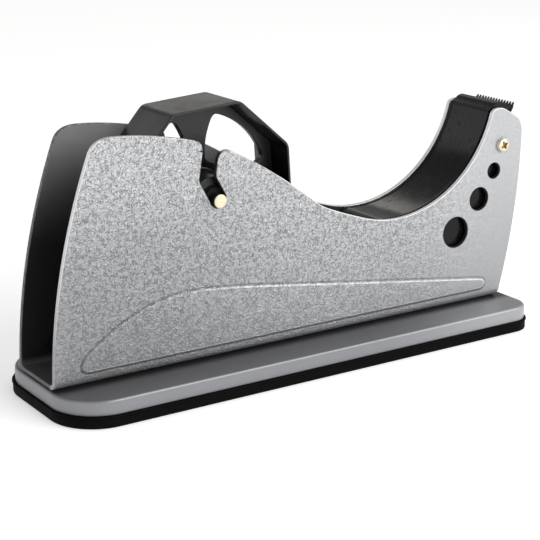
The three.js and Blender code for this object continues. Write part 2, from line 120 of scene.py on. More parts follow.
def bezier(p0, p1, p2, count):
    # quadratic curve from p0 to p2, pulled towards p1
    t = np.linspace(0, 1, count)[:, None]
    start, pull, end = (np.array(p, float) for p in (p0, p1, p2))
    return (1 - t) ** 2 * start + 2 * t * (1 - t) * pull + t ** 2 * end


def arc(centre, radius, start, end, count):
    # points on a circle between two angles in degrees
    a = np.radians(np.linspace(start, end, count))
    return np.stack([centre[0] + radius * np.cos(a), centre[1] + radius * np.sin(a)], -1)


def line(p0, p1, step=1.5):
    # points from p0 to p1, about one step apart
    count = max(int(np.hypot(p1[0] - p0[0], p1[1] - p0[1]) / step) + 2, 2)
    return np.linspace(p0, p1, count)


def chain(*pieces):
    # curves end to end, with the repeated joints left out
    path = np.concatenate([np.asarray(p, float) for p in pieces])
    keep = np.r_[True, np.linalg.norm(np.diff(path, axis=0), axis=1) > 1e-4]
    return path[keep]


def openLoop(path):
    # a closed path without its repeated last point, running anticlockwise
    if np.linalg.norm(path[0] - path[-1]) < 1e-4:
        path = path[:-1]
    x, y = path[:, 0], path[:, 1]
    area = np.sum(x * np.roll(y, -1) - np.roll(x, -1) * y)
    return path if area > 0 else path[::-1]


def inwards(loop):
    # unit normals of an anticlockwise loop, pointing into it
    along = np.roll(loop, -1, 0) - np.roll(loop, 1, 0)
    along /= np.maximum(np.linalg.norm(along, axis=1), 1e-9)[:, None]
    return np.stack([-along[:, 1], along[:, 0]], -1)


def insideOf(points, loop):
    # even-odd test of many points against one closed loop
    x, y = points[:, 0][:, None], points[:, 1][:, None]
    x0, y0 = loop[:, 0][None], loop[:, 1][None]
    x1, y1 = np.roll(loop[:, 0], -1)[None], np.roll(loop[:, 1], -1)[None]
    crosses = (y0 > y) != (y1 > y)
    at = x0 + (y - y0) * (x1 - x0) / np.where(np.abs(y1 - y0) < 1e-12, 1e-12, y1 - y0)
    return (np.sum(crosses & (x < at), axis=1) % 2) == 1


def distanceTo(points, loop):
    # least distance of many points to the segments of a closed loop
    a, b = loop, np.roll(loop, -1, 0)
    ab = b - a
    best = np.full(len(points), 1e9)
    for first in range(0, len(points), 2000):
        p = points[first:first + 2000, None]
        t = np.clip(np.sum((p - a) * ab, -1) / np.maximum(np.sum(ab * ab, -1), 1e-12), 0, 1)
        gap = np.linalg.norm(p - (a + t[..., None] * ab), axis=-1)
        best[first:first + 2000] = gap.min(1)
    return best


def sheetShell(outer, holes, place, half, edgeRound, lines=(), spots=None, steps=3):
    # a sheet of even thickness cut to an outline: its two faces are the outline drawn in by the
    # edge radius and filled with triangles, its rim is a half-round profile carried along each loop,
    # and place(x, y, w) bends it into space, w being the height over the middle of the sheet;
    # the parts come in this order: outer face, inner face, outer rim, rims of the holes
    loops = [openLoop(outer)] + [openLoop(h) for h in holes]
    pulls = [inwards(loops[0])] + [-inwards(h) for h in loops[1:]]
    rims = [loop + pull * edgeRound for loop, pull in zip(loops, pulls)]
    flat, edges, base = [], [], 0
    for path, closed in [(r, True) for r in rims] + [(np.asarray(p, float), False) for p in lines]:
        n = len(path)
        flat.append(path)
        edges += [(base + k, base + k + 1) for k in range(n - 1)]
        edges += [(base + n - 1, base)] if closed else []
        base += n
    if spots is not None and len(spots):
        clear = insideOf(spots, rims[0]) & (distanceTo(spots, rims[0]) > 0.8)
        for rim in rims[1:]:
            clear &= ~insideOf(spots, rim) & (distanceTo(spots, rim) > 0.8)
        flat.append(spots[clear])
    flat = np.concatenate(flat)
    made = delaunay_2d_cdt([Vector(p) for p in flat.tolist()], edges, [], 0, 1e-5, False)
    xy = np.array([tuple(v) for v in made[0]])
    tris = np.array([f for f in made[2] if len(f) == 3])
    mid = xy[tris].mean(1)
    keep = insideOf(mid, rims[0])
    for rim in rims[1:]:
        keep &= ~insideOf(mid, rim)
    tris = tris[keep]
    parts = [(place(xy[:, 0], xy[:, 1], np.full(len(xy), half)), tris),
             (place(xy[:, 0], xy[:, 1], np.full(len(xy), -half)), tris[:, ::-1])]
    turn = np.radians(np.linspace(0, 90, steps + 1)) if edgeRound > 0 else np.array([0.0])
    drawIn = edgeRound * (1 - np.sin(turn))
    high = half - edgeRound * (1 - np.cos(turn))
    drawIn, high = np.r_[drawIn, drawIn[::-1]], np.r_[high, -high[::-1]]
    for loop, pull in zip(loops, pulls):
        ring = loop[None] + pull[None] * drawIn[:, None, None]
        w = np.repeat(high[:, None], len(loop), 1)
        verts = place(ring[..., 0].ravel(), ring[..., 1].ravel(), w.ravel())
        parts.append((verts, quadGrid(len(high), len(loop), wrapCols=True)))
    return parts


def lathe(profile, centre, sides=64):
    # a closed profile of (radius, height) turned about Y through centre (x, z)
    profile = np.asarray(profile, float)
    a = np.linspace(0, 2 * np.pi, sides, endpoint=False)
    r, y = profile[:, 0][:, None], profile[:, 1][:, None]
    points = np.stack([centre[0] + r * np.cos(a), np.broadcast_to(y, (len(profile), sides)),
                       centre[1] + r * np.sin(a)], -1)
    return points.reshape(-1, 3), quadGrid(len(profile), sides, wrapCols=True)


def newGroup(name, inputs, outputs):
    # an empty shader group with number sockets
    group = bpy.data.node_groups.new(name, "ShaderNodeTree")
    for label, value in inputs:
        socket = group.interface.new_socket(label, in_out="INPUT", socket_type="NodeSocketFloat")
        socket.default_value = value
    for label in outputs:
        group.interface.new_socket(label, in_out="OUTPUT", socket_type="NodeSocketFloat")
    return group, group.nodes.new("NodeGroupInput"), group.nodes.new("NodeGroupOutput")


def markNode(tree, label):
    # a number that makePiece stored on the faces
    node = tree.nodes.new("ShaderNodeAttribute")
    node.attribute_name = label
    return node.outputs["Fac"]


def mathNode(tree, operation, first, second=None, clamp=False):
    node = tree.nodes.new("ShaderNodeMath")
    node.operation = operation
    node.use_clamp = clamp
    for k, value in enumerate((first, second)):
        if value is None:
            continue
        if isinstance(value, (int, float)):
            node.inputs[k].default_value = value
        else:
            tree.links.new(value, node.inputs[k])
    return node.outputs[0]


def times(tree, first, second):
    return mathNode(tree, "MULTIPLY", first, second)


def rangeNode(tree, value, low, high, outLow=0.0, outHigh=1.0):
    # a smooth step from outLow to outHigh as the value goes from low to high
    node = tree.nodes.new("ShaderNodeMapRange")
    node.interpolation_type = "SMOOTHSTEP"
    tree.links.new(value, node.inputs["Value"])
    for label, number in (("From Min", low), ("From Max", high), ("To Min", outLow), ("To Max", outHigh)):
        if isinstance(number, (int, float)):
            node.inputs[label].default_value = number
        else:
            tree.links.new(number, node.inputs[label])
    return node.outputs["Result"]


def noiseNode(tree, vector, scale, detail=2.0, rough=0.5, distort=0.0):
    node = tree.nodes.new("ShaderNodeTexNoise")
    tree.links.new(vector, node.inputs["Vector"])
    node.inputs["Detail"].default_value = detail
    node.inputs["Roughness"].default_value = rough
    node.inputs["Distortion"].default_value = distort
    if isinstance(scale, (int, float)):
        node.inputs["Scale"].default_value = scale
    else:
        tree.links.new(scale, node.inputs["Scale"])
    return node.outputs["Fac"]


def buildGrain():
    # fine moulded or sprayed grain: two sizes of noise added
    sockets = [("Scale", 900.0), ("Coarseness", 0.5)]
    group, given, out = newGroup("surfaceGrain", sockets, ["Height", "Mask"])
    where = group.nodes.new("ShaderNodeTexCoord").outputs["Object"]
    fine = noiseNode(group, where, given.outputs["Scale"], 3.0, 0.6)
    wide = noiseNode(group, where, times(group, given.outputs["Scale"], 0.22), 2.0)
    mixed = mathNode(group, "ADD", fine, times(group, wide, given.outputs["Coarseness"]))
    group.links.new(mixed, out.inputs["Height"])
    group.links.new(rangeNode(group, fine, 0.38, 0.64), out.inputs["Mask"])
    return group


def buildSmudge():
    # handling marks: slow patches, with thin streaks broken up by finer noise
    group, given, out = newGroup("handling", [("Scale", 40.0), ("Spread", 0.5)], ["Mask", "Streaks"])
    coord = group.nodes.new("ShaderNodeTexCoord").outputs["Object"]
    slow = noiseNode(group, coord, given.outputs["Scale"], 4.0, 0.62, 0.6)
    patches = rangeNode(group, slow, mathNode(group, "SUBTRACT", 0.85, given.outputs["Spread"]), 0.72)
    group.links.new(patches, out.inputs["Mask"])
    stretch = group.nodes.new("ShaderNodeMapping")
    stretch.inputs["Scale"].default_value = (1.0, 6.0, 2.2)
    stretch.inputs["Rotation"].default_value = (0.4, 0.3, 0.7)
    group.links.new(coord, stretch.inputs["Vector"])
    thinScale = times(group, given.outputs["Scale"], 4.0)
    thin = noiseNode(group, stretch.outputs["Vector"], thinScale, 3.0, 0.7)
    group.links.new(rangeNode(group, thin, 0.56, 0.7), out.inputs["Streaks"])
    return group


def buildHammer():
    # hammered paint: the middle level of a warped noise draws short dark hollows, a second noise
    # breaks them up, and a softer swell of the same size carries them
    sockets = [("Scale", 900.0), ("Width", 0.05)]
    group, given, out = newGroup("hammered", sockets, ["Hollows", "Height", "Sparkle"])
    scale = given.outputs["Scale"]
    coord = group.nodes.new("ShaderNodeTexCoord").outputs["Object"]
    warp = group.nodes.new("ShaderNodeTexNoise")
    group.links.new(coord, warp.inputs["Vector"])
    group.links.new(times(group, scale, 0.9), warp.inputs["Scale"])
    shift = group.nodes.new("ShaderNodeVectorMath")
    shift.operation = "MULTIPLY_ADD"
    group.links.new(warp.outputs["Color"], shift.inputs[0])
    shift.inputs[1].default_value = (0.0010, 0.0010, 0.0010)
    group.links.new(coord, shift.inputs[2])
    level = noiseNode(group, shift.outputs[0], scale, 2.0, 0.5)
    away = mathNode(group, "ABSOLUTE", mathNode(group, "SUBTRACT", level, 0.5))
    stroke = mathNode(group, "SUBTRACT", 1.0, rangeNode(group, away, 0.0, given.outputs["Width"]))
    broken = noiseNode(group, shift.outputs[0], times(group, scale, 0.62), 2.0)
    hollows = times(group, stroke, rangeNode(group, broken, 0.41, 0.56))
    swell = rangeNode(group, level, 0.35, 0.65)
    tiny = noiseNode(group, coord, times(group, scale, 2.2), 2.0)
    height = mathNode(group, "SUBTRACT", swell, times(group, hollows, 0.8))
    group.links.new(hollows, out.inputs["Hollows"])
    group.links.new(height, out.inputs["Height"])
    group.links.new(rangeNode(group, tiny, 0.52, 0.68), out.inputs["Sparkle"])
    return group


grainGroup, smudgeGroup, hammerGroup = buildGrain(), buildSmudge(), buildHammer()
print("shader groups built")


def newMaterial(name, metallic, coat=0.0, coatRough=0.1, specular=0.5):
    # a Principled material with its fixed values set
    material = bpy.data.materials.new(name)
    material.use_nodes = True
    tree = material.node_tree
    shader = tree.nodes["Principled BSDF"]
    shader.inputs["Metallic"].default_value = metallic
    shader.inputs["Coat Weight"].default_value = coat
    shader.inputs["Coat Roughness"].default_value = coatRough
    shader.inputs["Specular IOR Level"].default_value = specular
    return material, tree, shader


def useGroup(tree, group, **values):
    node = tree.nodes.new("ShaderNodeGroup")
    node.node_tree = group
    for label, value in values.items():
        node.inputs[label].default_value = value
    return node


def objectPlace(tree):
    # the point on the piece, as three numbers in the row frame
    place = tree.nodes.new("ShaderNodeSeparateXYZ")
    tree.links.new(tree.nodes.new("ShaderNodeTexCoord").outputs["Object"], place.inputs[0])
    return [place.outputs[axis] for axis in "XYZ"]


def mixColour(tree, mask, first, second):
    # the first colour where the mask is 0, the second where it is 1
    node = tree.nodes.new("ShaderNodeMix")
    node.data_type = "RGBA"
    if isinstance(mask, (int, float)):
        node.inputs[0].default_value = mask
    else:
        tree.links.new(mask, node.inputs[0])
    for k, colour in ((6, first), (7, second)):
        if isinstance(colour, tuple):
            node.inputs[k].default_value = (*colour, 1.0)
        else:
            tree.links.new(colour, node.inputs[k])
    return node.outputs[2]


def addBump(tree, shader, height, strength, distance):
    bump = tree.nodes.new("ShaderNodeBump")
    bump.inputs["Strength"].default_value = strength
    bump.inputs["Distance"].default_value = distance
    tree.links.new(height, bump.inputs["Height"])
    tree.links.new(bump.outputs["Normal"], shader.inputs["Normal"])


# the front, low, foot and shade tones are painted shade, the edge tone a painted highlight, the inside
# tones painted shading
hammertoneLook = {"light": (0.505, 0.515, 0.525), "hollow": (0.235, 0.24, 0.247),
                  "fleck": (0.95, 0.96, 0.97), "front": (0.36, 0.372, 0.37), "low": (0.10, 0.10, 0.105),
                  "wiped": (0.40, 0.41, 0.42), "leafFootShade": (0.06, 0.06, 0.063), "paintedHighlight": (0.88, 0.88, 0.90),
                  "shade": (0.008, 0.008, 0.008), "insideHigh": (0.25, 0.25, 0.252),
                  "insideLow": (0.025, 0.025, 0.0255), "insideFloor": (0.14, 0.14, 0.142),
                  "scale": 900.0, "width": 0.09, "metallic": 0.4}


def hammertonePaint(look):
    # outside: hammered silver, calmer towards the cutter post as a painted glare, with painted shade low
    # down, to the rear and towards the cutter post;
    # inside: painted shade that deepens with depth, and painted light on the channel floor; cut edges: a
    # painted highlight, and painted shade in the slots and holes
    material, tree, shader = newMaterial("hammertoneSilver", look["metallic"], coat=0.12, coatRough=0.3)
    hammer = useGroup(tree, hammerGroup, Scale=look["scale"], Width=look["width"])
    smudge = useGroup(tree, smudgeGroup, Scale=22.0, Spread=0.45)
    x, _, z = objectPlace(tree)
    mark = {label: markNode(tree, label) for label in ("rim", "inside", "shade", "leafFootShade", "leafCrestHighlight")}
    # a painted glare: the hammered pattern thins towards the cutter post; it also fades low down
    calm = rangeNode(tree, x, 0.04, 0.102, 1.0, 0.14)
    calm = times(tree, calm, rangeNode(tree, z, 0.012, 0.055, 0.6, 1.0))
    # painted shade: the outside darkens towards the cutter post
    front = mixColour(tree, rangeNode(tree, x, 0.06, 0.108, 0.0, 0.3), look["light"], look["front"])
    base = mixColour(tree, times(tree, hammer.outputs["Hollows"], calm), front, look["hollow"])
    flecks = times(tree, hammer.outputs["Sparkle"], times(tree, calm, 0.5))
    base = mixColour(tree, flecks, base, look["fleck"])
    # painted shade: the outside darkens low down, and towards the rear below the top of the plate
    low = rangeNode(tree, z, 0.085, 0.012, 0.0, 0.31)
    rearShade = rangeNode(tree, x, 0.03, -0.095, 0.0, 0.26)
    rearShade = times(tree, rearShade, rangeNode(tree, z, 0.095, 0.055))
    base = mixColour(tree, mathNode(tree, "ADD", low, rearShade, clamp=True), base, look["low"])
    base = mixColour(tree, times(tree, smudge.outputs["Mask"], 0.08), base, look["wiped"])
    # painted shade at the foot of the raised leaf and a painted highlight on its crest
    base = mixColour(tree, times(tree, mark["leafFootShade"], 0.62), base, look["leafFootShade"])
    base = mixColour(tree, times(tree, mark["leafCrestHighlight"], 0.5), base, look["paintedHighlight"])
    # painted highlight on the cut edges, stronger higher up
    rimHighlight = times(tree, mark["rim"], rangeNode(tree, z, 0.015, 0.075, 0.1, 0.9))
    base = mixColour(tree, rimHighlight, base, look["paintedHighlight"])
    # inside: painted shade, darkest low down, with painted light on the channel floor
    paintedInsideShading = mixColour(tree, rangeNode(tree, z, 0.055, 0.1), look["insideLow"], look["insideHigh"])
    paintedInsideShading = mixColour(tree, rangeNode(tree, z, 0.0155, 0.013), paintedInsideShading, look["insideFloor"])
    base = mixColour(tree, mark["inside"], base, paintedInsideShading)
    # painted shade on the slot and hole walls and on the far plate's rear edge
    base = mixColour(tree, times(tree, mark["shade"], 0.94), base, look["shade"])
    tree.links.new(base, shader.inputs["Base Color"])
    rough = rangeNode(tree, hammer.outputs["Hollows"], 0.0, 1.0, 0.38, 0.52)
    rough = mathNode(tree, "ADD", rough, times(tree, smudge.outputs["Streaks"], 0.06))
    tree.links.new(rough, shader.inputs["Roughness"])
    outside = mathNode(tree, "SUBTRACT", 1.0, mathNode(tree, "MAXIMUM", mark["inside"], mark["rim"]))
    relief = times(tree, hammer.outputs["Height"], times(tree, outside, calm))
    addBump(tree, shader, relief, 0.8, 0.00042)
    return material


# front: painted light; rear: painted shade; joint: a painted contact shadow
satinLook = {"colour": (0.265, 0.268, 0.282), "shade": (0.205, 0.208, 0.22), "front": (0.46, 0.465, 0.475),
             "rear": (0.085, 0.086, 0.09), "jointShadow": (0.008, 0.008, 0.008), "metallic": 0.4, "rough": 0.36}


def satinPaint(look):
    # smooth sprayed paint with a very fine orange-peel and slow patches; painted light lightens it towards
    # the front, and painted shade darkens the flat top towards the rear, with a painted contact shadow
    # along the joint with the channel frame
    material, tree, shader = newMaterial("silverBasePaint", look["metallic"], coat=0.12, coatRough=0.3)
    grain = useGroup(tree, grainGroup, Scale=2600.0, Coarseness=0.8)
    smudge = useGroup(tree, smudgeGroup, Scale=30.0, Spread=0.5)
    base = mixColour(tree, times(tree, grain.outputs["Mask"], 0.5), look["colour"], look["shade"])
    base = mixColour(tree, times(tree, smudge.outputs["Mask"], 0.18), base, look["shade"])
    x, y, z = objectPlace(tree)
    flat = rangeNode(tree, z, 0.0097, 0.0106)
    # painted shade on the flat top towards the rear, and painted light towards the front
    rearShade = rangeNode(tree, x, 0.10, 0.02, 0.0, 0.62)
    base = mixColour(tree, rangeNode(tree, x, 0.02, 0.1, 0.0, 0.5), base, look["front"])
    base = mixColour(tree, times(tree, flat, rearShade), base, look["rear"])
    # a painted contact shadow on the flat top along the channel frame
    jointShadow = rangeNode(tree, mathNode(tree, "ABSOLUTE", y), 0.0146, 0.0205, 0.9, 0.0)
    base = mixColour(tree, times(tree, flat, jointShadow), base, look["jointShadow"])
    tree.links.new(base, shader.inputs["Base Color"])
    rough = rangeNode(tree, smudge.outputs["Streaks"], 0.0, 1.0, look["rough"], look["rough"] + 0.09)
    tree.links.new(rough, shader.inputs["Roughness"])
    addBump(tree, shader, grain.outputs["Height"], 0.25, 0.00008)
    return material


dustColour = (0.12, 0.115, 0.11)


def mouldedPlastic(name, colour, wearAndHighlight, rough, grainScale, bump, gloss, dust, streak=0.07):
    # black moulding: spark-eroded grain, handling marks in the gloss, thin dust
    material, tree, shader = newMaterial(name, 0.0, specular=gloss)
    grain = useGroup(tree, grainGroup, Scale=grainScale, Coarseness=0.4)
    smudge = useGroup(tree, smudgeGroup, Scale=34.0, Spread=0.42)
    base = mixColour(tree, times(tree, grain.outputs["Mask"], 0.35), colour, wearAndHighlight)
    base = mixColour(tree, times(tree, smudge.outputs["Mask"], dust), base, dustColour)
    tree.links.new(base, shader.inputs["Base Color"])
    marks = times(tree, smudge.outputs["Mask"], 0.12)
    marks = mathNode(tree, "ADD", marks, times(tree, smudge.outputs["Streaks"], streak))
    tree.links.new(mathNode(tree, "ADD", marks, rough), shader.inputs["Roughness"])
    addBump(tree, shader, grain.outputs["Height"], bump, 0.00012)
    return material


def turnedMetal(name, colour, dark, rough, metallic=1.0, streak=900.0, marked=None):
    # plated or blackened metal: fine grain, a little tarnish, and a darker marked part
    material, tree, shader = newMaterial(name, metallic)
    grain = useGroup(tree, grainGroup, Scale=streak, Coarseness=0.9)
    smudge = useGroup(tree, smudgeGroup, Scale=160.0, Spread=0.5)
    base = mixColour(tree, times(tree, smudge.outputs["Mask"], 0.5), colour, dark)
    base = mixColour(tree, times(tree, grain.outputs["Mask"], 0.25), base, dark)
    if marked:
        base = mixColour(tree, markNode(tree, "marked"), base, marked)
    tree.links.new(base, shader.inputs["Base Color"])
    varied = rangeNode(tree, grain.outputs["Height"], 0.3, 1.1, rough, rough + 0.16)
    tree.links.new(varied, shader.inputs["Roughness"])
    addBump(tree, shader, grain.outputs["Height"], 0.3, 0.00005)
    return material


framePaint = hammertonePaint(hammertoneLook)
basePaint = satinPaint(satinLook)
padRubber = mouldedPlastic("padRubber", (0.002, 0.002, 0.0022), (0.004, 0.004, 0.004),
                           rough=0.6, grainScale=1500.0, bump=0.5, gloss=0.05, dust=0.01)
guidePlastic = mouldedPlastic("guidePlastic", (0.004, 0.0037, 0.0045), (0.006, 0.0055, 0.0065),
                              rough=0.16, grainScale=2200.0, bump=0.06, gloss=0.2, dust=0.03, streak=0.35)
hubPlastic = mouldedPlastic("hubPlastic", (0.0035, 0.0032, 0.0032), (0.007, 0.0065, 0.0065),
                            rough=0.32, grainScale=1800.0, bump=0.3, gloss=0.5, dust=0.03)
washerNylon = mouldedPlastic("washerNylon", (0.003, 0.003, 0.003), (0.006, 0.006, 0.006),
                             rough=0.5, grainScale=1600.0, bump=0.2, gloss=0.15, dust=0.01)
bladeSteel = turnedMetal("bladeSteel", (0.035, 0.035, 0.037), (0.012, 0.012, 0.012), 0.3, streak=1600.0)
axlePlate = turnedMetal("axlePlating", (0.86, 0.76, 0.55), (0.66, 0.56, 0.38), 0.42, metallic=0.35,
                        marked=(0.012, 0.011, 0.010))
screwBrass = turnedMetal("screwBrass", (0.86, 0.80, 0.68), (0.62, 0.50, 0.28), 0.24, streak=1400.0,
                         marked=(0.36, 0.20, 0.05))
screwZinc = turnedMetal("screwZinc", (0.52, 0.53, 0.55), (0.28, 0.28, 0.30), 0.28,
                        marked=(0.12, 0.12, 0.125))
clipSteel = turnedMetal("clipSteel", (0.03, 0.03, 0.032), (0.012, 0.012, 0.012), 0.5)
castIron = turnedMetal("castIron", (0.07, 0.068, 0.065), (0.03, 0.03, 0.03), 0.6, metallic=0.7,
                       streak=420.0)
print("materials built")


baseDims = {"length": 218.6, "width": 66.7, "padThick": 4.5, "lip": 0.9, "panInset": 1.0, "panTop": 10.6,
            "topRound": 1.3, "rearCorner": 20.0, "frontCorner": 10.0, "padRearCorner": 19.0,
            "cornerSteps": 24}


def footprint(inset, rear, front, d=baseDims):
    # a rectangle drawn in by inset, its corners quarter circles, larger ones at the rear
    w, x0, x1 = d["width"] / 2 - inset, inset, d["length"] - inset
    rings = []
    corners = ((x0, -w, rear, 180), (x1, -w, front, 270), (x1, w, front, 0), (x0, w, rear, 90))
    for x, y, radius, start in corners:
        r = max(radius - inset, 0.4)
        cx = x + r if x == x0 else x - r
        cy = y + r if y < 0 else y - r
        rings.append(arc((cx, cy), r, start, start + 90, d["cornerSteps"]))
    return np.concatenate(rings)


def slab(layers, d=baseDims):
    # outlines stacked at rising heights; each end closes on a pole through rings drawn to the middle
    middle = np.array([d["length"] / 2, 0.0])
    n = 4 * d["cornerSteps"]
    rings = []
    for z, inset, rear, front in layers:
        rings.append(np.c_[footprint(inset, rear, front), np.full(n, z)])
    first, last = rings[0], rings[-1]
    shrink = lambda ring, k: np.c_[middle + (ring[:, :2] - middle) * k, ring[:, 2]]
    drawn = (0.3, 0.7, 0.97)
    stack = [shrink(first, k) for k in drawn] + rings + [shrink(last, k) for k in drawn[::-1]]
    points = np.concatenate(stack + [np.array([[*middle, first[0, 2]], [*middle, last[0, 2]]])])
    rows = len(stack)
    faces = [quadGrid(rows, n, wrapCols=True), fan(np.arange(n), rows * n, True),
             fan(np.arange((rows - 1) * n, rows * n), rows * n + 1)]
    return points, faces


def quarterUp(inset, top, radius, steps=8):
    # heights and insets of a rounded upper edge
    a = np.radians(np.linspace(0, 90, steps))
    return [(top - radius * (1 - math.sin(t)), inset + radius * (1 - math.cos(t))) for t in a]


b = baseDims
lipFoot = b["padThick"] - b["lip"]
padLayers = [(0.0, 0.6), (0.12, 0.42), (0.35, 0.34), (lipFoot - 0.35, 0.34), (lipFoot - 0.18, 0.55),
             (lipFoot - 0.05, 0.5), (lipFoot + 0.1, 0.12), (lipFoot + 0.25, 0.02),
             (b["padThick"] - 0.2, 0.02), (b["padThick"] - 0.05, 0.12), (b["padThick"] - 0.01, 0.35)]
padSlab = slab([(z, i, b["padRearCorner"], b["frontCorner"]) for z, i in padLayers])
makePiece("rubberPad", [padSlab], padRubber, "frame_body", ["rubber_pad"], sharp=60)
panLayers = [(b["padThick"] + 0.01, b["panInset"] + 0.25), (b["padThick"] + 0.25, b["panInset"])]
panLayers += quarterUp(b["panInset"], b["panTop"] - 0.02, b["topRound"])
panSlab = slab([(z, i, b["rearCorner"], b["frontCorner"]) for z, i in panLayers])
makePiece("basePan", [panSlab], basePaint, "frame_body", ["base_pan"], sharp=60)
print("base built")


frameDims = {"sheet": 1.8, "half": 15.0, "floor": 10.6, "bendInside": 2.0, "rear": 2.0, "edgeRound": 0.32,
             "dipCentre": (156.35, 104.2), "dipRadius": 51.05, "top": 101.45, "emboss": 0.8,
             "holes": [(187.9, 42.7, 6.45), (200.1, 55.4, 4.85), (207.7, 66.6, 3.25)],
             "slotSeat": (71.9, 73.09), "slotKnee": (67.35, 81.3), "slotMouth": (68.9, 91.3),
             "slotHalf": 3.3}


def slotWall(d=frameDims):
    # down the left wall of the bent slot, round its seat and up the right wall
    seat, knee, mouth = (np.array(d[k]) for k in ("slotSeat", "slotKnee", "slotMouth"))
    h = d["slotHalf"]
    low = (knee - seat) / np.linalg.norm(knee - seat)
    high = (mouth - knee) / np.linalg.norm(mouth - knee)
    left = lambda v: np.array([-v[1], v[0]])
    angle = lambda v: math.degrees(math.atan2(v[1], v[0]))
    cosHalf = math.cos(math.acos(np.clip(np.dot(low, high), -1, 1)) / 2)
    bisect = -(left(low) + left(high)) / np.linalg.norm(left(low) + left(high))
    inner = knee + bisect * h / cosHalf
    lowAngle, highAngle = angle(left(low)) % 360, angle(left(high)) % 360
    return chain(line(mouth + left(high) * h, knee + left(high) * h, 0.8),
                 arc(knee, h, highAngle, lowAngle, 7),
                 line(knee + left(low) * h, seat + left(low) * h, 0.8),
                 arc(seat, h, lowAngle, lowAngle + 180, 26),
                 line(seat - left(low) * h, inner - low * 1.4, 0.8),
                 bezier(inner - low * 1.4, inner, inner + high * 1.4, 7),
                 line(inner + high * 1.4, (71.62, 87.4), 0.8))


def plateOutline(d=frameDims):
    # from the rear end of the crease up the rear edge, along the top and down the front edge
    cx, cz = d["dipCentre"]
    top = d["top"]
    joinZ = cz - math.sqrt(d["dipRadius"] ** 2 - (140 - cx) ** 2)
    start = math.degrees(math.atan2(joinZ - cz, 140 - cx))
    dip = arc((cx, cz), d["dipRadius"], start, -15.6, 110)
    return chain(bezier((2.0, 14.4), (3.24, 55.25), (18.9, 96.2), 60),
                 bezier((18.9, 96.2), (21.0, top + 0.05), (28.3, top), 18),
                 bezier((28.3, top), (43.3, 101.1), (62, 96.4), 30),
                 bezier((62, 96.4), (65.95, 95.3), (65.64, 91.81), 14),
                 slotWall(),
                 bezier((71.62, 87.4), (72.3, 91.25), (76.0, 91.25), 14),
                 bezier((76.0, 91.25), (77.6, 91.1), (80.0, 89.5), 7),
                 bezier((80.0, 89.5), (94.4, 82.3), (108.9, 71.5), 30),
                 line((108.9, 71.5), (118, 64.72)),
                 bezier((118, 64.72), (121.9, 61.8), (140, joinZ), 22),
                 dip,
                 bezier(dip[-1], (206.2, 92.95), (209.5, 93.0), 12),
                 bezier((209.5, 93.0), (211.4, 93.05), (213.0, 92.25), 8),
                 line((213.0, 92.25), (219.0, 88.85)),
                 bezier((219.0, 88.85), (222.6, 86.7), (222.7, 82), 10),
                 bezier((222.7, 82), (222.7, 48.2), (213.56, 14.4), 60))


def leafOutline():
    # the long leaf of the raised panel
    return openLoop(chain(bezier((13, 18.6), (13.6, 21.2), (16.6, 23.5), 10),
                          bezier((16.6, 23.5), (39, 41.4), (66, 39.5), 60),
                          bezier((66, 39.5), (80, 38.4), (95, 36.1), 24),
                          line((95, 36.1), (201.2, 20.9), 1.4),
                          bezier((201.2, 20.9), (205.2, 20.3), (205.1, 18.2), 9),
                          bezier((205.1, 18.2), (204.9, 15.35), (201.5, 15.3), 9),
                          line((201.5, 15.3), (16.5, 15.3), 1.4),
                          bezier((16.5, 15.3), (12.7, 15.3), (13, 18.6), 10)))


